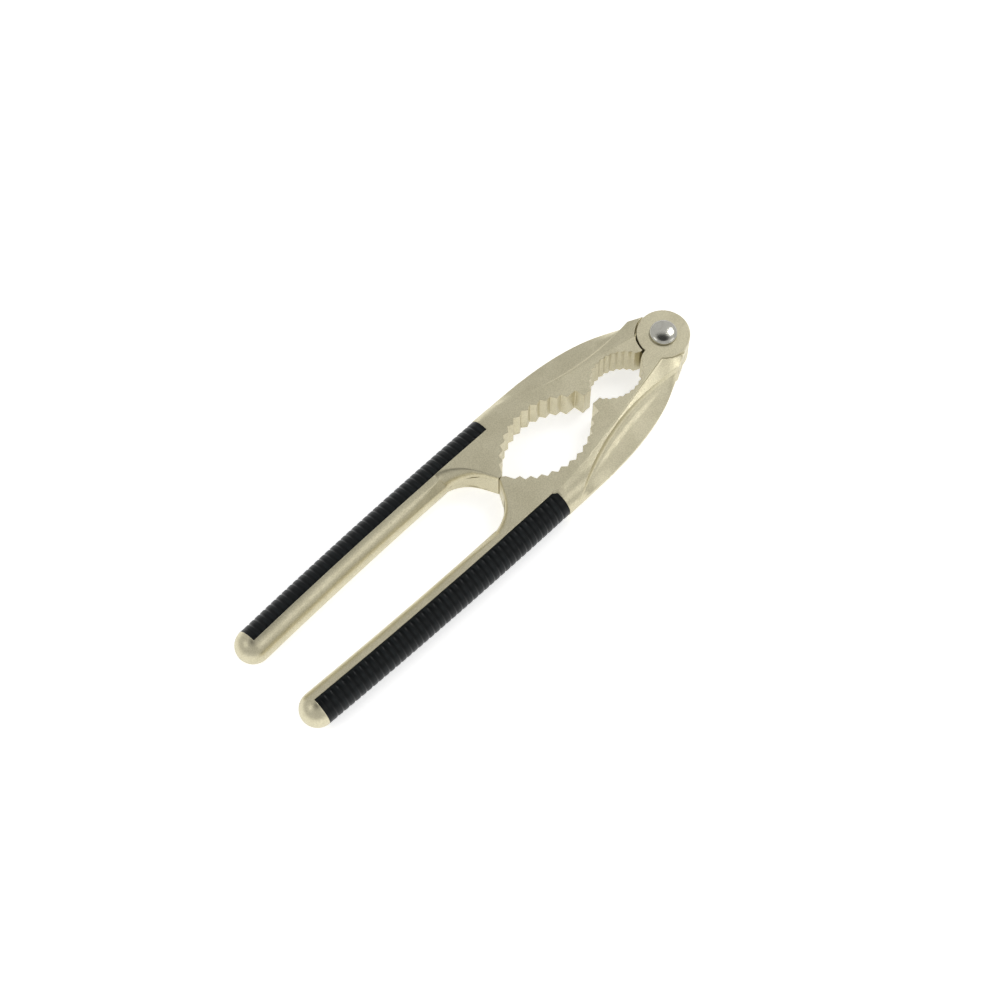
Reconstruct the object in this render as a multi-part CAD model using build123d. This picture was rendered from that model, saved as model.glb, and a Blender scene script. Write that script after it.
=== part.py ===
from build123d import *
import os
from math import atan, cos, degrees, radians, sin, sqrt, tan

os.makedirs("parts", exist_ok=True)

# A lever nutcracker lying closed. The pivot axis is the Z axis, the nose points to -X, the handles to +X.
# The right lever is on the +Y side with its ear on top. The left lever is the same casting turned
# over about the X line at mid-height, so its ear is underneath. All sizes are in millimetres.

# ---- lever casting ----
THICKNESS = 11.2            # resting face to top land
LAP_GAP = 0.1               # between the two half-thickness ears
EAR_RADIUS = 8.3
EAR_EDGE_ROUND = 0.2
SHOULDER_GAP = 0.6          # radial gap between an ear and the mate's concave shoulder
FLANK_RISE = 0.48           # slope of the straight nose flank, which touches the ear's flat top
FLANK_END = 8.1             # X where the flank turns into the curved back
BACK_OUTER = 21.1           # half-width of the lever's back, where it runs straight
BACK_STRAIGHT_FROM = 50.0   # X where the back becomes parallel to the handle
BACK_SQUARE_SHARE = 0.62    # share of the back's fall that follows a square; the rest a fourth power
BACK_STATIONS = (14.0, 22.0, 30.0, 38.0, 44.0)

# ---- jaws: each stretch starts from the end of the one before ----
INNER_LINE = 0.3            # jaw edge beside the ear, from the closing line
JAW_LEAD = (1.5, 0.5)       # from the ear to the jaw's first corner, and that corner's height
SMALL_NOTCH_LEAD = (1.4, 1.45)
SMALL_NOTCH_RADIUS = 11.1
SMALL_TOOTH_DEPTH = 0.5
SMALL_TEETH = 12
SMALL_NOTCH_ANGLES = (150.0, 33.0)
CUSP = ((1.3, 1.9), (2.9, 1.8), (3.4, 5.0))     # from the small notch's end to the large one
LARGE_NOTCH_LEAD = (3.5, 5.1)
LARGE_TIP_RADIUS = 20.25
LARGE_TOOTH_DEPTH = 1.1
LARGE_TEETH = 11
LARGE_NOTCH_ANGLES = (133.0, 41.4)
LARGE_NOTCH_RUNOUT = 4.0    # angle past the last tooth
STOP_LEAD_IN = (1.24, 0.8)
STOP_RAMP = 0.8
STOP_LENGTH = 1.4           # the levers meet here when closed
STOP_GAP = 0.3              # closing gap between the two stops
TOOTH_ROUND = 0.25

# ---- handle ----
HANDLE_INSET = 0.05         # the round handle stays this far inside both flat faces and the back
HANDLE_BEFORE_STOP = 7.8    # the handle's round section starts this far before the stop
HANDLE_LENGTH = 96.0        # to the middle of the ball end
HANDLE_BOW_AT = 44.0
HANDLE_BOW = 0.2
HANDLE_TOE_IN = 1.7
WEB_ANGLE = 60.0            # direction of the web's inner edge at the stop
WEB_SHAPE = 1.25            # length of the web's inner edge over its rise from the stop to the handle
WEB_STATIONS = (-0.06, 0.06, 0.22, 0.38, 0.53, 0.77, 1.04)      # shares of that length
WEB_EDGE_ROUND = 1.2        # edge rounding beside the stop; it grows to the handle's half-section
WEB_SINK = 0.2              # the web's end lies this far inside the handle's round surface

# ---- top land, nose facet, leaf-shaped recess ----
# Stations along X, each with: land edge Y, facet step, back's edge above mid-height, roundness.
BACK_ROUNDING = (
    (-4.5, 3.0, 0.45, 4.7, 0.0),
    (12.0, 6.6, 0.45, 4.0, 0.0),
    (25.0, 9.3, 0.40, 2.4, 0.4),
    (38.0, 11.9, 0.15, 0.8, 0.9),
    (50.0, 13.8, 0.05, 0.35, 1.0),
)
ROUNDING_END = (14.9, 0.05, 0.35, 1.0)          # the same four just under the grip
FACET_EDGE_WIDTH = 0.25
LAND_RING = 0.4             # raised land left round the ear
LEAF_STATIONS = (-2.0, 10.0, 22.0, 34.0, 46.0, 58.0)
LEAF_NEAREST = 18.0         # X where the recess comes closest to the closing line
LEAF_WIDTH = 7.2            # from the recess's edge to the back, there
LEAF_CURVE = 0.0070
LEAF_DEPTH = 2.9
LEAF_CREASE_DROP = 0.5
LEAF_RIM = 0.4              # recess edge above mid-height, at the back

# ---- grip ----
SEAM_OFFSET = 0.96          # the seam lies this far inside the handle's ridge
GRIP_WALL = 2.25            # thickness of the grip over the metal core
RIB_PITCH = 2.2
RIB_GROOVE_WIDTH = 0.6
RIB_GROOVE_DEPTH = 0.25
COLLAR = 2.6                # plain band at each end of the grip
PEG_RADIUS = 1.2
PEG_LENGTH = 2.0
PEG_INSET = 10.0            # from each end of the grip

# ---- rivet ----
SHANK_RADIUS = 3.0
RUNNING_CLEARANCE = 0.05    # radial, shank in the right ear
DOME_OVERHANG = 1.35        # dome beyond the shank
DOME_RIM = 0.3
DOME_HEIGHT = 1.9
TAIL_OVERHANG = 1.2         # peened tail beyond the shank
TAIL_DEPTH = 1.2            # the tail fills a countersink, flush with the resting face

MID = THICKNESS / 2
EAR_LEVEL = MID + LAP_GAP / 2
MID_PLANE = Plane.XY.offset(MID)
FLANK_TOUCH = EAR_RADIUS - EAR_EDGE_ROUND
FLANK_START = FLANK_TOUCH * sqrt(1 + FLANK_RISE ** 2)   # height of the flank's line at X = 0
BACK_START = (FLANK_END, FLANK_START + FLANK_RISE * FLANK_END)
DOME_RADIUS = SHANK_RADIUS + DOME_OVERHANG
TAIL_RADIUS = SHANK_RADIUS + TAIL_OVERHANG


def polar(centre, radius, angle):
    """Point in plan at a radius and an angle in degrees from a centre."""
    return (centre[0] + radius * cos(radians(angle)), centre[1] + radius * sin(radians(angle)))


def moved(point, step):
    """Point that lies a step further along X, at the height that the step gives."""
    return (point[0] + step[0], step[1])


def upright(radius, height):
    """Cylinder that stands on its own base."""
    return Cylinder(radius, height, align=(Align.CENTER, Align.CENTER, Align.MIN))


def tooth_points(centre, tip_radius, depth, count, angles):
    """Tips and the valleys between them, in order, along a notch that bends round a centre."""
    step = (angles[1] - angles[0]) / (count - 1)
    points = []
    for i in range(count):
        angle = angles[0] + step * i
        points.append(polar(centre, tip_radius, angle))
        if i < count - 1:
            points.append(polar(centre, tip_radius + depth, angle + step / 2))
    return points


JAW_START = moved((EAR_RADIUS, 0), JAW_LEAD)
SMALL_NOTCH_CENTRE = polar(moved(JAW_START, SMALL_NOTCH_LEAD), -SMALL_NOTCH_RADIUS, SMALL_NOTCH_ANGLES[0])
SMALL_NOTCH_END = polar(SMALL_NOTCH_CENTRE, SMALL_NOTCH_RADIUS, SMALL_NOTCH_ANGLES[1])
CUSP_POINTS = [moved(SMALL_NOTCH_END, step) for step in CUSP]
LARGE_NOTCH_CENTRE = polar(moved(CUSP_POINTS[-1], LARGE_NOTCH_LEAD), -LARGE_TIP_RADIUS, LARGE_NOTCH_ANGLES[0])
LARGE_NOTCH_END = polar(LARGE_NOTCH_CENTRE, LARGE_TIP_RADIUS + LARGE_TOOTH_DEPTH,
                        LARGE_NOTCH_ANGLES[1] - LARGE_NOTCH_RUNOUT)
STOP_CORNER = moved(LARGE_NOTCH_END, STOP_LEAD_IN)
STOP_Y = STOP_GAP / 2
STOP_FROM = STOP_CORNER[0] + STOP_RAMP
STOP_TO = STOP_FROM + STOP_LENGTH
HANDLE_RADIUS = MID - HANDLE_INSET
CORE_RADIUS = HANDLE_RADIUS - GRIP_WALL
HANDLE_Y = BACK_OUTER - HANDLE_RADIUS - HANDLE_INSET
HANDLE_FROM = STOP_FROM - HANDLE_BEFORE_STOP
HANDLE_TO = HANDLE_FROM + HANDLE_LENGTH
WEB_Y = HANDLE_Y - HANDLE_RADIUS + WEB_SINK             # where the web runs into the handle
WEB_LENGTH = WEB_SHAPE * (WEB_Y - STOP_Y)
WEB_END = STOP_TO + WEB_LENGTH


def handle_path():
    """Centre line of the handle at mid-height."""
    return ThreePointArc((HANDLE_FROM, HANDLE_Y, MID),
                         (HANDLE_FROM + HANDLE_BOW_AT, HANDLE_Y - HANDLE_BOW, MID),
                         (HANDLE_TO, HANDLE_Y - HANDLE_TOE_IN, MID))


def handle_frame(x):
    """Origin, along-handle and outward directions of the handle at a station X."""
    path = handle_path()
    low, high = 0.0, 1.0
    for _ in range(40):
        t = (low + high) / 2
        if (path @ t).X < x:
            low = t
        else:
            high = t
    along = path % low
    return path @ low, along, Vector(-along.Y, along.X, 0)


def back_y(x):
    """Y of the back's outline at a station X."""
    share = max(BACK_STRAIGHT_FROM - x, 0) / (BACK_STRAIGHT_FROM - FLANK_END)
    fall = BACK_SQUARE_SHARE * share ** 2 + (1 - BACK_SQUARE_SHARE) * share ** 4
    return BACK_OUTER - (BACK_OUTER - BACK_START[1]) * fall


def web_arc_start():
    """Point where the web's straight inner edge turns into the arc that meets the handle."""
    slope = tan(radians(WEB_ANGLE))
    chord = tan(radians(WEB_ANGLE / 2))
    run = (slope * (WEB_END - STOP_TO) - (WEB_Y - STOP_Y)) / (slope - chord)
    return (WEB_END - run, WEB_Y - chord * run)


def web_y(x):
    """Y of the web's inner edge at a station X."""
    start_x, start_y = web_arc_start()
    if x <= start_x:
        return start_y - (start_x - x) * tan(radians(WEB_ANGLE))
    radius = (WEB_END - start_x) / sin(radians(WEB_ANGLE))
    return WEB_Y - radius + sqrt(radius ** 2 - min(x - WEB_END, 0) ** 2)


def lever_outline():
    """Plan of one lever body without its ear disc."""
    teeth = [
        (0, 0), (EAR_RADIUS, INNER_LINE), JAW_START,
        *tooth_points(SMALL_NOTCH_CENTRE, SMALL_NOTCH_RADIUS - SMALL_TOOTH_DEPTH / 2,
                      SMALL_TOOTH_DEPTH, SMALL_TEETH, SMALL_NOTCH_ANGLES),
        *CUSP_POINTS,
        *tooth_points(LARGE_NOTCH_CENTRE, LARGE_TIP_RADIUS, LARGE_TOOTH_DEPTH,
                      LARGE_TEETH, LARGE_NOTCH_ANGLES),
        LARGE_NOTCH_END, STOP_CORNER, (STOP_FROM, STOP_Y), (STOP_TO, STOP_Y),
    ]
    jaw = FilletPolyline(*teeth, radius=TOOTH_ROUND)
    arc_start = web_arc_start()
    web_line = Line((STOP_TO, STOP_Y), arc_start)
    web_arc = TangentArc(arc_start, (WEB_END, WEB_Y), tangent=web_line % 1)
    under_grip = HANDLE_Y + 1
    inside = Polyline((WEB_END, WEB_Y), (WEB_END, under_grip), (HANDLE_FROM, under_grip),
                      (HANDLE_FROM, BACK_OUTER), (BACK_STRAIGHT_FROM, BACK_OUTER))
    back_points = [(x, back_y(x)) for x in reversed(BACK_STATIONS)]
    back = Spline((BACK_STRAIGHT_FROM, BACK_OUTER), *back_points, BACK_START,
                  tangents=((-1, 0), (-1, -FLANK_RISE)))
    flank_from = polar((0, 0), FLANK_TOUCH, 90 + degrees(atan(FLANK_RISE)))
    nose = Polyline(BACK_START, flank_from, (0, 0))
    return make_face([*jaw.edges(), web_line, web_arc, *inside.edges(), back, *nose.edges()])


def rounding_section(x, land, step, low, roundness):
    """Region above the lever's rounded back at one station."""
    back = back_y(x)
    start = (land + FACET_EDGE_WIDTH, THICKNESS - step)
    end = (back, MID + low)
    rise = start[1] - end[1]
    span = back - start[0]
    # the two middle poles blend a straight facet into a quarter ellipse
    near = (start[0] + span * (0.33 + 0.22 * roundness), start[1] - rise * 0.33 * (1 - roundness))
    far = (back - span * 0.33 * (1 - roundness), end[1] + rise * (0.33 + 0.22 * roundness))
    curve = Bezier(start, near, far, end)
    rest = Polyline(end, (back + 6, end[1]), (back + 6, THICKNESS + 2), (land, THICKNESS + 2),
                    (land, THICKNESS), start)
    return Plane.YZ.offset(x) * make_face([curve, *rest.edges()])


def leaf_section(x):
    """Region removed by the leaf-shaped recess at one station."""
    edge = back_y(LEAF_NEAREST) - LEAF_WIDTH + LEAF_CURVE * (x - LEAF_NEAREST) ** 2
    width = back_y(x) - edge
    floor = THICKNESS - LEAF_DEPTH
    crease = (edge + 0.45 * width, floor - LEAF_CREASE_DROP)
    curve = Bezier((edge, THICKNESS + 1), (edge + 0.08 * width, floor - 0.6),
                   (edge + 0.2 * width, floor), crease)
    rim = (edge + width + 0.3, MID + LEAF_RIM)
    rest = Polyline(crease, rim, (edge + width + 8, MID + LEAF_RIM),
                    (edge + width + 8, THICKNESS + 3), (edge, THICKNESS + 3), (edge, THICKNESS + 1))
    return Plane.YZ.offset(x) * make_face([curve, *rest.edges()])


def web_section(x):
    """Region above the web's rounded inner edge at one station."""
    edge = web_y(x)
    growth = (x - STOP_TO) / (WEB_END - STOP_TO)
    land = edge + WEB_EDGE_ROUND + (HANDLE_RADIUS - WEB_SINK - WEB_EDGE_ROUND) * growth
    low = THICKNESS - WEB_EDGE_ROUND - (MID - WEB_EDGE_ROUND) * growth
    pull = 0.55                 # pole length that makes a quarter ellipse
    curve = Bezier((land, THICKNESS), (land - pull * (land - edge), THICKNESS),
                   (edge, THICKNESS - (1 - pull) * (THICKNESS - low)), (edge, low))
    rest = Polyline((edge, low), (edge - 3, low), (edge - 3, THICKNESS + 1), (land, THICKNESS + 1),
                    (land, THICKNESS))
    return Plane.YZ.offset(x) * make_face([curve, *rest.edges()])


def grip_profile(radius):
    """Section of the grip's seat: the outer side of the handle, outside the metal core."""
    side = 2 * radius + 2
    outer_side = Location((side / 2 - SEAM_OFFSET, 0)) * Rectangle(side, side)
    return (Circle(radius) & outer_side) - Circle(CORE_RADIUS)


def swept_along_handle(profile):
    """Sweep a section along the handle; the section's +X points outward."""
    path = handle_path()
    along = path % 0
    outward = Vector(-along.Y, along.X, 0)
    return sweep(Plane(path @ 0, x_dir=outward, z_dir=along) * profile, path=path)


def pegs():
    """Two pegs under the grip that locate it in the handle's core."""
    made = []
    for x in (HANDLE_FROM + PEG_INSET, HANDLE_TO - PEG_INSET):
        centre, along, outward = handle_frame(x)
        base = Plane(centre + outward * (CORE_RADIUS - PEG_LENGTH), x_dir=along, z_dir=outward)
        made.append(base * upright(PEG_RADIUS, PEG_LENGTH + 0.5))
    return made


def lever_body():
    """The casting without hinge cuts: jaws, shaped back, web, handle and ball end."""
    body = extrude(lever_outline(), THICKNESS)
    ring = Cylinder(EAR_RADIUS + LAND_RING, 4 * THICKNESS)
    stations = [*BACK_ROUNDING, (HANDLE_FROM + 1, *ROUNDING_END)]
    rounding = loft([rounding_section(*row) for row in stations]) - ring
    leaf = loft([leaf_section(x) for x in LEAF_STATIONS])
    web = loft([web_section(STOP_TO + share * WEB_LENGTH) for share in WEB_STATIONS])
    for cutter in (rounding, leaf, web):
        body -= cutter
        body -= mirror(cutter, about=MID_PLANE)
    end = Plane(handle_path() @ 1, z_dir=handle_path() % 1)
    ball = split(end * Sphere(HANDLE_RADIUS), bisect_by=end)
    return body + swept_along_handle(Circle(HANDLE_RADIUS)) + ball


def right_casting():
    """Right lever before drilling: ear in the upper half, shoulder in the lower half."""
    body = lever_body()
    shoulder = upright(EAR_RADIUS + SHOULDER_GAP, EAR_LEVEL)
    ear = Location((0, 0, EAR_LEVEL)) * upright(EAR_RADIUS, THICKNESS - EAR_LEVEL)
    ear = fillet(ear.edges().group_by(Axis.Z)[-1], EAR_EDGE_ROUND)
    lever = body - shoulder + ear
    lever -= swept_along_handle(grip_profile(HANDLE_RADIUS + 1.5))
    for peg in pegs():
        lever -= peg
    return lever


def turned_over(shape):
    """The same piece on the other side: turned over about the X line at mid-height."""
    return shape.rotate(Axis((0, 0, MID), (1, 0, 0)), 180)


def grip():
    """Ribbed grip shell of the right lever with its two pegs."""
    shell = swept_along_handle(grip_profile(HANDLE_RADIUS))
    grooves = []
    x = HANDLE_FROM + COLLAR
    while x < HANDLE_TO - COLLAR:
        centre, along, outward = handle_frame(x)
        ring = Cylinder(HANDLE_RADIUS + 1, RIB_GROOVE_WIDTH) - Cylinder(
            HANDLE_RADIUS - RIB_GROOVE_DEPTH, RIB_GROOVE_WIDTH)
        grooves.append(Plane(centre, x_dir=outward, z_dir=along) * ring)
        x += RIB_PITCH
    shell -= grooves
    for peg in pegs():
        shell += peg
    return shell


def pivot_rivet():
    """Steel rivet: domed head on top, shank, flush peened tail below."""
    dome_curve = ThreePointArc((0, THICKNESS + DOME_HEIGHT),
                               (DOME_RADIUS * 0.56, THICKNESS + DOME_RIM + (DOME_HEIGHT - DOME_RIM) * 0.72),
                               (DOME_RADIUS, THICKNESS + DOME_RIM))
    outline = Polyline((DOME_RADIUS, THICKNESS + DOME_RIM), (DOME_RADIUS, THICKNESS),
                       (SHANK_RADIUS, THICKNESS), (SHANK_RADIUS, TAIL_DEPTH), (TAIL_RADIUS, 0),
                       (0, 0), (0, THICKNESS + DOME_HEIGHT))
    return revolve(Plane.XZ * make_face([dome_curve, *outline.edges()]), Axis.Z)


def countersink():
    """Shank bore and countersink in the left lever's ear."""
    outline = Polyline((0, -1), (TAIL_RADIUS, -1), (TAIL_RADIUS, 0), (SHANK_RADIUS, TAIL_DEPTH),
                       (SHANK_RADIUS, THICKNESS), (0, THICKNESS), (0, -1))
    return revolve(Plane.XZ * make_face(outline.edges()), Axis.Z)


casting = right_casting()
right_grip = grip()
nodes = {
    "right_lever": casting - Cylinder(SHANK_RADIUS + RUNNING_CLEARANCE, 4 * THICKNESS),
    "left_lever": turned_over(casting) - countersink(),
    "right_grip": right_grip,
    "left_grip": turned_over(right_grip),
    "pivot_rivet": pivot_rivet(),
}
for name, shape in nodes.items():
    solids = shape.solids()
    export_step(solids[0] if len(solids) == 1 else shape, f"parts/{name}.step")
    print(name, len(solids), "solid(s)", round(shape.volume), "mm3", shape.bounding_box())
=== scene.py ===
"""Looks of a lever nutcracker: two plated castings, ribbed grips and a polished pivot rivet.

Sizes are in metres, in the frame of the CAD model. MM turns a size in millimetres into metres.
"""

import logging
import math
from collections.abc import Callable, Sequence
from dataclasses import dataclass
from enum import Enum

import bpy
from mathutils import Matrix, Vector
from mathutils.bvhtree import BVHTree


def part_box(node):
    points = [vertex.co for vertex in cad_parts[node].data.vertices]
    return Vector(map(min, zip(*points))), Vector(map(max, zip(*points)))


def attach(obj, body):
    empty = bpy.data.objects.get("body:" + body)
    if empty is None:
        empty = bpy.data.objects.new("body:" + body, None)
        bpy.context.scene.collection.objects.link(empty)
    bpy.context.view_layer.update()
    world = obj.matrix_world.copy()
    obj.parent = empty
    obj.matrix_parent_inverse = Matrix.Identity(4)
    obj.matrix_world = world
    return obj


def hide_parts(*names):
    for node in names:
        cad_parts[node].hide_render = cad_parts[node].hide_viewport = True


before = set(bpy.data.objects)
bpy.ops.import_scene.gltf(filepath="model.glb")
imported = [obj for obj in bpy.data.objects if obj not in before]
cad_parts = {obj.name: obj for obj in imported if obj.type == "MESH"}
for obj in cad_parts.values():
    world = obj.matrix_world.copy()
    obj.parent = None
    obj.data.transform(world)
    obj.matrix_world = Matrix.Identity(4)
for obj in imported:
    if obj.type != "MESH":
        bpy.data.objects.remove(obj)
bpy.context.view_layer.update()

MM = 0.001
MERGE_DISTANCE = 0.001 * MM     # points closer than this are one point
LEVEL = 0.99995                 # least upright part of the normal of a level face
FLAT_ANGLE = 0.2                # degrees between level faces that are joined into one
STRAY_SHARE = 0.8               # share of a rounding's width that a point may lie off the old surface
Colour = tuple[float, float, float]
Place = tuple[float, float, float]
Section = list[Vector]
log = logging.getLogger("nutcracker")


class Side(Enum):
    """The two halves of the nutcracker."""

    LEFT = "left"
    RIGHT = "right"

    @property
    def body(self) -> str:
        """Name of the CAD body that this half rides on."""
        return f"{self.value}_half"

    @property
    def lever_node(self) -> str:
        """Name of the CAD node of this half's lever."""
        return f"{self.value}_lever"

    @property
    def grip_node(self) -> str:
        """Name of the CAD node of this half's grip."""
        return f"{self.value}_grip"


class Slot(Enum):
    """Material slots of the record."""

    CAST_METAL = "cast_metal"
    GRIP_PLASTIC = "grip_plastic"
    RIVET_STEEL = "rivet_steel"


# ---------------------------------------------------------------------------
# modelling helpers
# ---------------------------------------------------------------------------

def deselect_all() -> None:
    """Leave nothing selected, so that an operator acts on the new piece alone."""
    bpy.ops.object.select_all(action="DESELECT")


def make_active(piece: bpy.types.Object) -> None:
    """Select one piece alone and make it the active one."""
    deselect_all()
    piece.select_set(True)
    bpy.context.view_layer.objects.active = piece


def lofted(name: str, sections: Sequence[Section]) -> bpy.types.Object:
    """Make a closed solid through a row of closed sections.

    A grid is laid down, rolled round the sections, sewn along its seam and capped at both ends.

    Args:
        name: Name of the new piece.
        sections: Rings of points, all with the same count, from one end to the other.

    Returns:
        The solid.
    """
    around = len(sections[0])
    deselect_all()
    bpy.ops.mesh.primitive_grid_add(x_subdivisions=around, y_subdivisions=len(sections) - 1, size=1)
    piece = bpy.context.object
    piece.name = name
    for index, vertex in enumerate(piece.data.vertices):
        ring, step = divmod(index, around + 1)
        vertex.co = sections[ring][step % around]
    bpy.ops.object.mode_set(mode="EDIT")
    bpy.ops.mesh.select_all(action="SELECT")
    bpy.ops.mesh.remove_doubles(threshold=MERGE_DISTANCE)
    bpy.ops.mesh.fill_holes(sides=0)
    bpy.ops.mesh.select_all(action="SELECT")
    bpy.ops.mesh.normals_make_consistent(inside=False)
    bpy.ops.object.mode_set(mode="OBJECT")
    return piece


def merged_copy(node: str, name: str) -> bpy.types.Object:
    """Copy a CAD node, sew its loose triangles together and join those of its level faces.

    Args:
        node: Name of the CAD node.
        name: Name of the copy.

    Returns:
        The copy, with a mesh of its own.
    """
    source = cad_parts[node]
    copy = bpy.data.objects.new(name, source.data.copy())
    bpy.context.scene.collection.objects.link(copy)
    copy.data.materials.clear()
    make_active(copy)
    bpy.ops.mesh.customdata_custom_splitnormals_clear()
    bpy.ops.object.mode_set(mode="EDIT")
    bpy.ops.mesh.select_mode(type="FACE")
    bpy.ops.mesh.select_all(action="SELECT")
    bpy.ops.mesh.remove_doubles(threshold=MERGE_DISTANCE)
    bpy.ops.mesh.select_all(action="DESELECT")
    bpy.ops.object.mode_set(mode="OBJECT")
    for face in copy.data.polygons:
        face.select = abs(face.normal.z) > LEVEL
    bpy.ops.object.mode_set(mode="EDIT")
    bpy.ops.mesh.dissolve_limited(angle_limit=math.radians(FLAT_ANGLE))
    bpy.ops.object.mode_set(mode="OBJECT")
    return copy


def select_sharp_edges(piece: bpy.types.Object, angle: float, wanted: Callable[[Vector], bool]) -> None:
    """Select the edges that are sharper than an angle, where they are wanted.

    Args:
        piece: Piece whose edges are selected.
        angle: Smallest angle in degrees between the two faces of a selected edge.
        wanted: Says whether the edge with this middle point may be selected.
    """
    make_active(piece)
    bpy.ops.object.mode_set(mode="EDIT")
    bpy.ops.mesh.select_mode(type="EDGE")
    bpy.ops.mesh.select_all(action="DESELECT")
    bpy.ops.object.mode_set(mode="OBJECT")
    faces: dict[int, list[Vector]] = {}
    for face in piece.data.polygons:
        for loop in face.loop_indices:
            faces.setdefault(piece.data.loops[loop].edge_index, []).append(face.normal.copy())
    points = piece.data.vertices
    for edge in piece.data.edges:
        sides = faces[edge.index]
        middle = (points[edge.vertices[0]].co + points[edge.vertices[1]].co) / 2
        edge.select = len(sides) == 2 and sides[0].angle(sides[1]) > math.radians(angle) and wanted(middle)


def broken_edges(piece: bpy.types.Object, width: float, segments: int = 3) -> None:
    """Round the selected edges.

    A corner where many edges meet can throw a point off the surface or out of the piece's box, so such
    a point is put back on the surface.

    Args:
        piece: Piece to change.
        width: Distance that the rounding reaches from the edge.
        segments: Facets across the rounding.
    """
    before = BVHTree.FromObject(piece, bpy.context.evaluated_depsgraph_get())
    low = [min(corner[axis] for corner in piece.bound_box) for axis in range(3)]
    high = [max(corner[axis] for corner in piece.bound_box) for axis in range(3)]
    make_active(piece)
    bpy.ops.object.mode_set(mode="EDIT")
    bpy.ops.mesh.bevel(offset=width, segments=segments, affect="EDGES", clamp_overlap=False)
    bpy.ops.object.mode_set(mode="OBJECT")
    strays = 0
    for vertex in piece.data.vertices:
        place, _, _, distance = before.find_nearest(vertex.co)
        proud = any(value < a or value > b for a, value, b in zip(low, vertex.co, high))
        if proud or distance > STRAY_SHARE * width:
            vertex.co = place
            strays += 1
    log.info("%s: %d stray points put back", piece.name, strays)


def smoothed(piece: bpy.types.Object, angle: float = 35) -> None:
    """Shade curved faces smooth and keep flat ones flat."""
    make_active(piece)
    bpy.ops.object.shade_smooth_by_angle(angle=math.radians(angle))
    weighted = piece.modifiers.new("flat_faces", "WEIGHTED_NORMAL")
    weighted.keep_sharp = True
    weighted.weight = 100
    bpy.ops.object.modifier_apply(modifier=weighted.name)


def handed_over(piece: bpy.types.Object, body: str, material: bpy.types.Material,
                node: str) -> None:
    """Give a finished piece its material and tell the frame what it rides on and replaces."""
    piece.data.materials.clear()
    piece.data.materials.append(material)
    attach(piece, body)
    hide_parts(node)
    log.info("%s: %d faces, rides on %s", piece.name, len(piece.data.polygons), body)


# ---------------------------------------------------------------------------
# shader helpers and shared effects
# ---------------------------------------------------------------------------

def new_node(tree: bpy.types.NodeTree, kind: str, **settings: object) -> bpy.types.Node:
    """Add a shader node and set its properties and plain inputs.

    Args:
        tree: Tree that gets the node.
        kind: Node type without its ShaderNode prefix.
        settings: Node properties by name, or input values by name with underscores for spaces.

    Returns:
        The new node.
    """
    node = tree.nodes.new("ShaderNode" + kind)
    for key, value in settings.items():
        if hasattr(node, key):
            setattr(node, key, value)
        else:
            node.inputs[key.replace("_", " ")].default_value = value
    return node


def arithmetic(tree: bpy.types.NodeTree, operation: str, first: object,
               second: object) -> bpy.types.NodeSocket:
    """Join two numbers or sockets with a Math node and return its result."""
    node = new_node(tree, "Math", operation=operation)
    for socket, value in zip(node.inputs, (first, second)):
        if isinstance(value, bpy.types.NodeSocket):
            tree.links.new(value, socket)
        else:
            socket.default_value = value
    return node.outputs[0]


def remapped(tree: bpy.types.NodeTree, value: bpy.types.NodeSocket, low: float, high: float,
             to_low: float = 0.0, to_high: float = 1.0) -> bpy.types.NodeSocket:
    """Spread a range of a value smoothly over another range, clamped at its ends."""
    node = new_node(tree, "MapRange", interpolation_type="SMOOTHSTEP")
    for name, number in (("From Min", low), ("From Max", high), ("To Min", to_low), ("To Max", to_high)):
        node.inputs[name].default_value = number
    tree.links.new(value, node.inputs["Value"])
    return node.outputs["Result"]


def tinted(tree: bpy.types.NodeTree, factor: bpy.types.NodeSocket, first: object,
           second: object) -> bpy.types.NodeSocket:
    """Mix two colours, each a tuple or a socket, by a factor."""
    node = new_node(tree, "Mix", data_type="RGBA")
    tree.links.new(factor, node.inputs[0])
    for socket, value in ((node.inputs[6], first), (node.inputs[7], second)):
        if isinstance(value, bpy.types.NodeSocket):
            tree.links.new(value, socket)
        else:
            socket.default_value = (*value, 1)
    return node.outputs[2]


@dataclass(frozen=True)
class Effect:
    """A shared node group: named number inputs, a point input and named number outputs."""

    name: str
    inputs: Sequence[tuple[str, float]]
    outputs: Sequence[str]
    build: Callable[[bpy.types.NodeTree, bpy.types.Node, bpy.types.Node], None]

    def group(self) -> bpy.types.NodeTree:
        """Return the node group, building it the first time."""
        if self.name in bpy.data.node_groups:
            return bpy.data.node_groups[self.name]
        tree = bpy.data.node_groups.new(self.name, "ShaderNodeTree")
        tree.interface.new_socket("Point", in_out="INPUT", socket_type="NodeSocketVector")
        for name, value in self.inputs:
            socket = tree.interface.new_socket(name, in_out="INPUT", socket_type="NodeSocketFloat")
            socket.default_value = value
        for name in self.outputs:
            tree.interface.new_socket(name, in_out="OUTPUT", socket_type="NodeSocketFloat")
        self.build(tree, tree.nodes.new("NodeGroupInput"), tree.nodes.new("NodeGroupOutput"))
        return tree

    def placed(self, tree: bpy.types.NodeTree, point: bpy.types.NodeSocket,
               **values: float) -> bpy.types.Node:
        """Put the effect into a material.

        Args:
            tree: Material's node tree.
            point: Socket that gives the point on the piece.
            values: Input values by name, with underscores for spaces.

        Returns:
            The group node.
        """
        node = tree.nodes.new("ShaderNodeGroup")
        node.node_tree = self.group()
        for key, value in values.items():
            node.inputs[key.replace("_", " ")].default_value = value
        tree.links.new(point, node.inputs["Point"])
        return node


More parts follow.
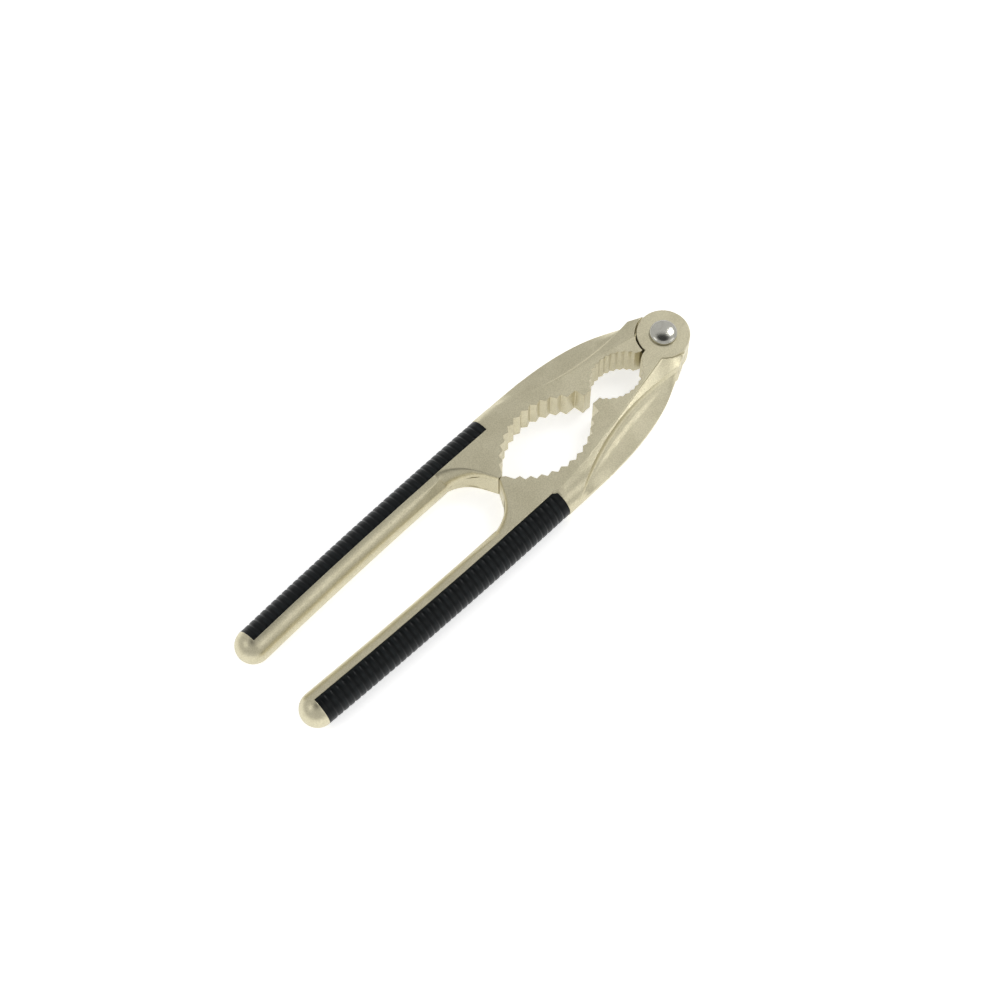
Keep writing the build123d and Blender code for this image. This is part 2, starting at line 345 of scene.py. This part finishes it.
def build_skin(tree: bpy.types.NodeTree, given: bpy.types.Node, result: bpy.types.Node) -> None:
    """Fine grain over a softer mottle, as moulds and shot blasting leave it."""
    grain = new_node(tree, "TexNoise", Detail=3.0, Roughness=0.6)
    mottle = new_node(tree, "TexNoise", Detail=4.0, Roughness=0.55, Distortion=0.4)
    for noise, size in ((grain, "Grain"), (mottle, "Mottle")):
        tree.links.new(given.outputs["Point"], noise.inputs["Vector"])
        tree.links.new(given.outputs[size], noise.inputs["Scale"])
    tree.links.new(grain.outputs[0], result.inputs["Grain"])
    tree.links.new(remapped(tree, mottle.outputs[0], 0.3, 0.7), result.inputs["Mottle"])


def build_pits(tree: bpy.types.NodeTree, given: bpy.types.Node, result: bpy.types.Node) -> None:
    """Sparse small pits, each a soft round dip; only some cells hold one."""
    cells = new_node(tree, "TexVoronoi", Randomness=1.0)
    tree.links.new(given.outputs["Point"], cells.inputs["Vector"])
    tree.links.new(given.outputs["Cells"], cells.inputs["Scale"])
    dip = new_node(tree, "MapRange", interpolation_type="SMOOTHSTEP")
    tree.links.new(cells.outputs["Distance"], dip.inputs["Value"])
    tree.links.new(given.outputs["Size"], dip.inputs["From Max"])
    dip.inputs["To Min"].default_value = 1.0
    dip.inputs["To Max"].default_value = 0.0
    draw = new_node(tree, "SeparateXYZ")
    tree.links.new(cells.outputs["Color"], draw.inputs[0])
    chosen = arithmetic(tree, "LESS_THAN", draw.outputs[0], given.outputs["Share"])
    tree.links.new(arithmetic(tree, "MULTIPLY", dip.outputs["Result"], chosen), result.inputs["Pits"])


def build_scratches(tree: bpy.types.NodeTree, given: bpy.types.Node, result: bpy.types.Node) -> None:
    """Hairline scratches in two slanting directions, broken up along their length."""
    lines = []
    for turn, seed in ((0.55, 3.0), (-0.95, 11.0)):
        turned = new_node(tree, "VectorRotate", rotation_type="Z_AXIS", Angle=turn)
        tree.links.new(given.outputs["Point"], turned.inputs["Vector"])
        stretched = new_node(tree, "Mapping", Scale=(90.0, 2600.0, 400.0), Location=(seed, seed, 0.0))
        tree.links.new(turned.outputs[0], stretched.inputs["Vector"])
        noise = new_node(tree, "TexNoise", Scale=1.0, Detail=1.0, Roughness=0.4)
        tree.links.new(stretched.outputs[0], noise.inputs["Vector"])
        lines.append(remapped(tree, noise.outputs[0], 0.71, 0.77))
    both = arithmetic(tree, "MAXIMUM", *lines)
    tree.links.new(arithmetic(tree, "MULTIPLY", both, given.outputs["Amount"]), result.inputs["Lines"])


SKIN = Effect("moulded_skin", (("Grain", 5000.0), ("Mottle", 150.0)), ("Grain", "Mottle"), build_skin)
PITS = Effect("casting_pits", (("Cells", 300.0), ("Size", 0.1), ("Share", 0.1)), ("Pits",), build_pits)
SCRATCHES = Effect("hairline_scratches", (("Amount", 1.0),), ("Lines",), build_scratches)


def started_material(name: str) -> tuple[bpy.types.Material, bpy.types.Node, bpy.types.NodeSocket]:
    """Start a node material.

    Args:
        name: Name of the material.

    Returns:
        The material, its Principled shader and the point on the piece.
    """
    material = bpy.data.materials.new(name)
    material.use_nodes = True
    shader = material.node_tree.nodes["Principled BSDF"]
    point = material.node_tree.nodes.new("ShaderNodeTexCoord").outputs["Object"]
    return material, shader, point


def roughened(tree: bpy.types.NodeTree, shader: bpy.types.Node, height: bpy.types.NodeSocket,
              depth: float) -> None:
    """Feed a height from 0 to 1 to the shader's normal, at its real depth."""
    bump = new_node(tree, "Bump", Strength=1.0, Distance=depth)
    tree.links.new(height, bump.inputs["Height"])
    tree.links.new(bump.outputs[0], shader.inputs["Normal"])


# ---------------------------------------------------------------------------
# finishes
# ---------------------------------------------------------------------------

@dataclass(frozen=True)
class ChampagneNickel:
    """Satin champagne nickel over a shot-blasted zinc casting."""

    colour: Colour = (0.715, 0.665, 0.485)
    tarnish: Colour = (0.49, 0.45, 0.305)
    grain_depth: float = 0.022 * MM
    grain: float = 2700.0
    mottle: float = 110.0
    mottle_share: float = 0.30
    sand_share: float = 0.45
    pit_cells: float = 260.0
    pit_size: float = 0.10
    pit_share: float = 0.10
    pit_depth: float = 3.0
    scratch_amount: float = 0.3
    scratch_depth: float = 0.5
    scratch_shine: float = 0.1
    sand_range: tuple[float, float] = (0.38, 0.62)
    sand_haze: float = 0.16
    smoothest: float = 0.28

    def material(self) -> bpy.types.Material:
        """Build the material."""
        material, shader, point = started_material("champagne_nickel_on_zinc")
        tree = material.node_tree
        skin = SKIN.placed(tree, point, Grain=self.grain, Mottle=self.mottle)
        pits = PITS.placed(tree, point, Cells=self.pit_cells, Size=self.pit_size, Share=self.pit_share)
        lines = SCRATCHES.placed(tree, point, Amount=self.scratch_amount)
        sandy = remapped(tree, skin.outputs["Grain"], *self.sand_range, 0.0, self.sand_share)
        stained = arithmetic(tree, "MULTIPLY", skin.outputs["Mottle"], self.mottle_share)
        stained = arithmetic(tree, "MAXIMUM", arithmetic(tree, "ADD", stained, sandy), pits.outputs["Pits"])
        tree.links.new(tinted(tree, stained, self.colour, self.tarnish), shader.inputs["Base Color"])
        shine = arithmetic(tree, "MULTIPLY", lines.outputs["Lines"], self.scratch_shine)
        worn = arithmetic(tree, "MULTIPLY", skin.outputs["Grain"], self.sand_haze)
        worn = arithmetic(tree, "ADD", worn, self.smoothest)
        worn = arithmetic(tree, "SUBTRACT", worn, shine)
        tree.links.new(worn, shader.inputs["Roughness"])
        dips = arithmetic(tree, "MULTIPLY", pits.outputs["Pits"], self.pit_depth)
        height = arithmetic(tree, "SUBTRACT", skin.outputs["Grain"], dips)
        cuts = arithmetic(tree, "MULTIPLY", lines.outputs["Lines"], self.scratch_depth)
        height = arithmetic(tree, "SUBTRACT", height, cuts)
        roughened(tree, shader, height, self.grain_depth)
        shader.inputs["Metallic"].default_value = 1.0
        return material


@dataclass(frozen=True)
class BlackGrip:
    """Black moulded plastic, dulled on the crests of its ribs by handling."""

    colour: Colour = (0.0030, 0.0042, 0.0046)
    handled: Colour = (0.0085, 0.0115, 0.0125)
    roughness: float = 0.30
    grain_depth: float = 0.006 * MM
    grain: float = 3600.0
    mottle: float = 220.0
    crest_range: tuple[float, float] = (0.2, -0.8)
    rubbed_haze: float = 0.12
    gloss: float = 0.18

    def material(self, first_groove: float, pitch: float) -> bpy.types.Material:
        """Build the material.

        Args:
            first_groove: X of the middle of the first groove.
            pitch: Distance from groove to groove.

        Returns:
            The material.
        """
        material, shader, point = started_material("black_ribbed_plastic")
        tree = material.node_tree
        skin = SKIN.placed(tree, point, Grain=self.grain, Mottle=self.mottle)
        place = new_node(tree, "SeparateXYZ")
        tree.links.new(point, place.inputs[0])
        phase = arithmetic(tree, "SUBTRACT", place.outputs[0], first_groove)
        wave = arithmetic(tree, "COSINE", arithmetic(tree, "MULTIPLY", phase, 2 * math.pi / pitch), 0.0)
        crest = remapped(tree, wave, *self.crest_range)
        rubbed = arithmetic(tree, "MULTIPLY", crest, skin.outputs["Mottle"])
        tree.links.new(tinted(tree, rubbed, self.colour, self.handled), shader.inputs["Base Color"])
        dull = arithmetic(tree, "ADD", arithmetic(tree, "MULTIPLY", rubbed, self.rubbed_haze), self.roughness)
        tree.links.new(dull, shader.inputs["Roughness"])
        roughened(tree, shader, skin.outputs["Grain"], self.grain_depth)
        shader.inputs["Specular IOR Level"].default_value = self.gloss
        return material


@dataclass(frozen=True)
class PolishedSteel:
    """Bright steel with the faint rings that polishing leaves."""

    colour: Colour = (0.62, 0.61, 0.55)
    dulled: Colour = (0.44, 0.43, 0.37)
    roughness: float = 0.10
    ring_depth: float = 0.0012 * MM
    ring_scale: float = 9000.0
    ring_waver: float = 1.5
    grain: float = 2600.0
    mottle: float = 420.0
    mottle_share: float = 0.4
    mottle_haze: float = 0.07
    scratch_amount: float = 0.7

    def material(self) -> bpy.types.Material:
        """Build the material."""
        material, shader, point = started_material("polished_steel")
        tree = material.node_tree
        skin = SKIN.placed(tree, point, Grain=self.grain, Mottle=self.mottle)
        lines = SCRATCHES.placed(tree, point, Amount=self.scratch_amount)
        rings = new_node(tree, "TexWave", wave_type="RINGS", rings_direction="Z", Scale=self.ring_scale,
                         Distortion=self.ring_waver, Detail=2.0)
        tree.links.new(point, rings.inputs["Vector"])
        dull = arithmetic(tree, "MULTIPLY", skin.outputs["Mottle"], self.mottle_share)
        tree.links.new(tinted(tree, dull, self.colour, self.dulled), shader.inputs["Base Color"])
        hazed = arithmetic(tree, "MULTIPLY", skin.outputs["Mottle"], self.mottle_haze)
        hazed = arithmetic(tree, "ADD", hazed, self.roughness)
        tree.links.new(hazed, shader.inputs["Roughness"])
        height = arithmetic(tree, "SUBTRACT", rings.outputs["Fac"], lines.outputs["Lines"])
        roughened(tree, shader, height, self.ring_depth)
        shader.inputs["Metallic"].default_value = 1.0
        return material


@dataclass(frozen=True)
class WhiteTable:
    """Matt white sheet, lit faintly from within so that shadows on it stay soft and pale."""

    colour: Colour = (0.93, 0.93, 0.925)
    shade: Colour = (0.8, 0.8, 0.8)
    shade_share: float = 0.03
    roughness: float = 0.8
    glow: float = 0.58

    def material(self) -> bpy.types.Material:
        """Build the material."""
        material, shader, point = started_material("white_sheet")
        tree = material.node_tree
        skin = SKIN.placed(tree, point, Grain=900.0, Mottle=8.0)
        faint = arithmetic(tree, "MULTIPLY", skin.outputs["Mottle"], self.shade_share)
        tree.links.new(tinted(tree, faint, self.colour, self.shade), shader.inputs["Base Color"])
        shader.inputs["Roughness"].default_value = self.roughness
        shader.inputs["Emission Color"].default_value = (1, 1, 1, 1)
        shader.inputs["Emission Strength"].default_value = self.glow
        return material


# ---------------------------------------------------------------------------
# sub-assemblies
# ---------------------------------------------------------------------------

@dataclass
class LeverCasting:
    """One lever: jaws, web, handle core and ball end in one casting with broken edges."""

    side: Side
    edge_break: float = 0.09 * MM
    rim_break: float = 0.16 * MM
    rim_segments: int = 4
    sharp: float = 24.0
    cover: float = 1.5 * MM

    def __post_init__(self) -> None:
        """Take the grip's box from the CAD model."""
        self.grip_low, self.grip_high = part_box(self.side.grip_node)

    def inside_grip(self, point: Vector, margin: float) -> bool:
        """Say whether a point lies in the grip's box, grown by a margin."""
        return all(a - margin < value < b + margin
                   for a, value, b in zip(self.grip_low, point, self.grip_high))

    def on_rim(self, point: Vector) -> bool:
        """Say whether a point lies where the casting's surface meets the grip's."""
        return self.inside_grip(point, self.rim_break) and not self.inside_grip(point, -self.cover)

    def away_from_grip(self, point: Vector) -> bool:
        """Say whether a point lies clear of the grip."""
        return not self.inside_grip(point, self.rim_break)

    def build(self, material: bpy.types.Material) -> bpy.types.Object:
        """Model the casting and dress it.

        Args:
            material: Finish of the casting.

        Returns:
            The casting.
        """
        piece = merged_copy(self.side.lever_node, f"{self.side.value}_lever_casting")
        select_sharp_edges(piece, self.sharp, self.on_rim)
        broken_edges(piece, self.rim_break, self.rim_segments)
        select_sharp_edges(piece, self.sharp, self.away_from_grip)
        broken_edges(piece, self.edge_break)
        smoothed(piece)
        handed_over(piece, self.side.body, material, self.side.lever_node)
        return piece


@dataclass
class RibbedGrip:
    """Plastic grip shell round the outer side of a handle.

    The handle's centre line is a wide arc. Its crest and the grip's size come from the CAD grip.
    """

    side: Side
    crest_x: float = 75.0 * MM
    bend_radius: float = 1975.0 * MM
    seam_offset: float = 0.96 * MM
    wall: float = 2.25 * MM
    sink: float = 0.07 * MM
    collar: float = 2.6 * MM
    pitch: float = 2.2 * MM
    groove_depth: float = 0.20 * MM
    groove_floor: float = 0.12 * MM
    groove_reach: float = 0.50 * MM
    end_round: float = 0.16 * MM
    steps_per_rib: int = 12
    end_steps: int = 4
    arc_steps: int = 56
    smooth_angle: float = 50.0

    def __post_init__(self) -> None:
        """Take the handle's size and place from the right grip of the CAD model."""
        low, high = (Vector(corner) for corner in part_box(Side.RIGHT.grip_node))
        self.start, self.end = low.x, high.x
        self.radius = (high.z - low.z) / 2
        self.middle_z = (high.z + low.z) / 2
        self.crest_y = high.y - self.radius

    @property
    def first_groove(self) -> float:
        """X of the middle of the first groove."""
        return self.start + self.collar

    def sunk(self, x: float) -> float:
        """Depth of the surface under the full radius at a station along the grip."""
        from_end = min(x - self.start, self.end - x)
        rounding = self.end_round * max(0.0, 1 - from_end / self.end_round) ** 2
        if not self.first_groove - self.pitch / 2 < x < self.end - self.collar + self.pitch / 2:
            return rounding
        off = (x - self.first_groove + self.pitch / 2) % self.pitch - self.pitch / 2
        slope = (abs(off) - self.groove_floor) / (self.groove_reach - self.groove_floor)
        slope = max(0.0, min(1.0, slope))
        return rounding + self.groove_depth * (0.5 + 0.5 * math.cos(math.pi * slope))

    def section(self, x: float) -> Section:
        """Closed ring of points of the shell at a station.

        Args:
            x: Station along the grip.

        Returns:
            Points up the outer arc and back down the inner one.
        """
        run = x - self.crest_x
        centre = Vector((x, self.crest_y - run * run / (2 * self.bend_radius), self.middle_z))
        outward = Vector((run / self.bend_radius, 1, 0)).normalized()
        outer = self.radius - self.sink
        inner = self.radius - self.wall
        sunk = self.sunk(x)
        ring = []
        reach = math.acos(-self.seam_offset / outer)
        for i in range(self.arc_steps + 1):
            angle = reach * (2 * i / self.arc_steps - 1)
            from_seam = (reach - abs(angle)) * outer
            edge = max(0.0, 1 - from_seam / self.end_round)
            groove = sunk * min(1.0, from_seam / self.pitch)
            radius = outer - max(groove, self.end_round * edge ** 2)
            ring.append(centre + outward * radius * math.cos(angle)
                        + Vector((0, 0, radius * math.sin(angle))))
        reach = math.acos(-self.seam_offset / inner)
        for i in range(self.arc_steps // 2 + 1):
            angle = reach * (1 - 4 * i / self.arc_steps)
            ring.append(centre + outward * inner * math.cos(angle)
                        + Vector((0, 0, inner * math.sin(angle))))
        return ring

    def stations(self) -> list[float]:
        """Stations along the grip: close at its ends, even over its ribs."""
        near_end = [self.end_round * i / self.end_steps for i in range(self.end_steps + 1)]
        step = self.pitch / self.steps_per_rib
        inside = self.start + self.end_round + step / 2
        count = int((self.end - self.end_round - inside) / step)
        return ([self.start + d for d in near_end] + [inside + step * i for i in range(count)]
                + [self.end - d for d in reversed(near_end)])

    def build(self, material: bpy.types.Material) -> bpy.types.Object:
        """Model the grip and dress it.

        Args:
            material: Finish of the grip.

        Returns:
            The grip.
        """
        piece = lofted(f"{self.side.value}_grip_shell", [self.section(x) for x in self.stations()])
        if self.side is Side.LEFT:
            axis = Matrix.Translation((0, 0, self.middle_z))
            piece.data.transform(axis @ Matrix.Rotation(math.pi, 4, "X") @ axis.inverted())
        smoothed(piece, self.smooth_angle)
        handed_over(piece, self.side.body, material, self.side.grip_node)
        return piece


@dataclass
class PivotRivet:
    """Steel rivet: domed head over a shadow gap, shank, and a peened tail flush with the underside."""

    dome_radius: float = 4.33 * MM
    rim_height: float = 0.42 * MM
    undercut: float = 0.14 * MM
    seat_radius: float = 3.75 * MM
    shank_radius: float = 3.0 * MM
    tail_radius: float = 4.18 * MM
    tail_depth: float = 1.2 * MM
    rim_bulge: float = 0.012 * MM
    rim_turn_in: float = 0.08 * MM
    seat_clearance: float = 0.002 * MM
    tail_edge: float = 0.03 * MM
    tail_chamfer: float = 0.06 * MM
    dimple: Sequence[tuple[float, float]] = ((0.72, 0.0), (0.66, 0.07 * MM), (0.3, 0.16 * MM))
    dimple_depth: float = 0.18 * MM
    pole_radius: float = 0.1 * MM
    segments: int = 144
    dome_steps: int = 22
    dome_fullness: float = 0.82
    smooth_angle: float = 40.0

    def profile(self) -> list[tuple[float, float]]:
        """Radius and height of each ring, from the dome's top to the tail's middle."""
        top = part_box("pivot_rivet")[1][2]
        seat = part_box(Side.RIGHT.lever_node)[1][2]
        crown = top - seat - self.rim_height
        rings = []
        for i in range(self.dome_steps + 1):
            turn = math.pi / 2 * i / self.dome_steps
            radius = self.pole_radius + (self.dome_radius - self.pole_radius) * math.sin(turn)
            rings.append((radius, top - crown * (1 - math.cos(turn) ** self.dome_fullness)))
        rim = self.dome_radius
        rings += [(rim + self.rim_bulge, seat + self.rim_height * 0.75),
                  (rim, seat + self.rim_height * 0.5),
                  (rim - self.rim_turn_in, seat + self.undercut),
                  (self.seat_radius, seat + self.undercut * 0.8),
                  (self.seat_radius, seat + self.seat_clearance),
                  (self.shank_radius, seat + self.seat_clearance),
                  (self.shank_radius, self.tail_depth),
                  (self.tail_radius, self.tail_edge),
                  (self.tail_radius - self.tail_chamfer, 0.0)]
        rings += [(self.tail_radius * share, height) for share, height in self.dimple]
        rings.append((self.pole_radius, self.dimple_depth))
        return rings

    def build(self, material: bpy.types.Material) -> bpy.types.Object:
        """Model the rivet and dress it.

        Args:
            material: Finish of the rivet.

        Returns:
            The rivet.
        """
        turn = 2 * math.pi / self.segments
        sections = [[Vector((radius * math.cos(turn * i), radius * math.sin(turn * i), height))
                     for i in range(self.segments)] for radius, height in self.profile()]
        piece = lofted("domed_pivot_rivet", sections)
        smoothed(piece, self.smooth_angle)
        handed_over(piece, Side.LEFT.body, material, "pivot_rivet")
        return piece


# ---------------------------------------------------------------------------
# studio
# ---------------------------------------------------------------------------

@dataclass
class SoftLamp:
    """A square soft lamp aimed at the nutcracker."""

    name: str
    place: Place
    size: float
    power: float
    aim: Place = (0.075, 0.0, 0.0)

    def build(self) -> None:
        """Hang the lamp."""
        light = bpy.data.lights.new(self.name, "AREA")
        light.size = self.size
        light.energy = self.power
        lamp = bpy.data.objects.new(self.name, light)
        lamp.location = self.place
        lamp.rotation_euler = (Vector(self.aim) - Vector(self.place)).to_track_quat("-Z", "Y").to_euler()
        bpy.context.scene.collection.objects.link(lamp)


@dataclass
class Studio:
    """White table, soft surrounding light, lamps and the camera."""

    eye: Place = (0.28739, 0.21918, 0.62959)
    aim: Place = (0.07209, 0.00177, 0.0)
    lens: float = 83.21
    sensor: float = 36.0
    table_size: float = 5.0
    table_drop: float = 0.05 * MM
    overhead: float = 0.10
    far_side: float = 0.66
    near_side: float = 0.62
    side_range: tuple[float, float] = (-0.6, 1.0)
    overhead_range: tuple[float, float] = (0.89, 0.975)

    def build(self) -> None:
        """Set up the whole studio."""
        self.lay_table()
        self.surround()
        for lamp in (SoftLamp("window", (-1.76, -0.10, 2.42), 0.9, 11.0),
                     SoftLamp("right_softbox", (-0.78, 1.72, 1.58), 1.05, 2.7),
                     SoftLamp("front_softbox", (1.61, -0.79, 1.84), 0.9, 2.6)):
            lamp.build()
        self.place_camera()
        bpy.context.scene.view_settings.view_transform = "Standard"

    def lay_table(self) -> None:
        """Lay the white table just under the resting face."""
        deselect_all()
        bpy.ops.mesh.primitive_plane_add(size=self.table_size, location=(0, 0, 0))
        table = bpy.context.object
        table.name = "table"
        table.data.transform(Matrix.Translation((0, 0, -self.table_drop)))
        table.data.materials.append(WhiteTable().material())

    def surround(self) -> None:
        """Light the scene from all round, with a dark patch straight overhead."""
        world = bpy.data.worlds.new("soft_room")
        world.use_nodes = True
        tree = world.node_tree
        place = new_node(tree, "SeparateXYZ")
        tree.links.new(tree.nodes.new("ShaderNodeTexCoord").outputs["Generated"], place.inputs[0])
        across = arithmetic(tree, "ADD", place.outputs[0], place.outputs[1])
        around = remapped(tree, across, *self.side_range, self.far_side, self.near_side)
        dimmed = remapped(tree, place.outputs[2], *self.overhead_range, 1.0, self.overhead)
        sky = tree.nodes["Background"]
        tree.links.new(arithmetic(tree, "MULTIPLY", around, dimmed), sky.inputs["Strength"])
        sky.inputs["Color"].default_value = (1, 1, 1, 1)
        bpy.context.scene.world = world

    def place_camera(self) -> None:
        """Place the camera and make it the scene's."""
        camera = bpy.data.cameras.new("camera")
        camera.lens = self.lens
        camera.sensor_width = self.sensor
        seat = bpy.data.objects.new("camera", camera)
        seat.location = self.eye
        seat.rotation_euler = (Vector(self.aim) - Vector(self.eye)).to_track_quat("-Z", "Y").to_euler()
        bpy.context.scene.collection.objects.link(seat)
        bpy.context.scene.camera = seat


def main() -> None:
    """Build the studio, then the nutcracker piece by piece."""
    logging.basicConfig(level=logging.INFO, format="%(name)s: %(message)s")
    Studio().build()
    nickel = ChampagneNickel().material()
    plastic = None
    for side in Side:
        LeverCasting(side).build(nickel)
        grip = RibbedGrip(side)
        plastic = plastic or BlackGrip().material(grip.first_groove, grip.pitch)
        grip.build(plastic)
    PivotRivet().build(PolishedSteel().material())


if __name__ == "__main__":
    main()
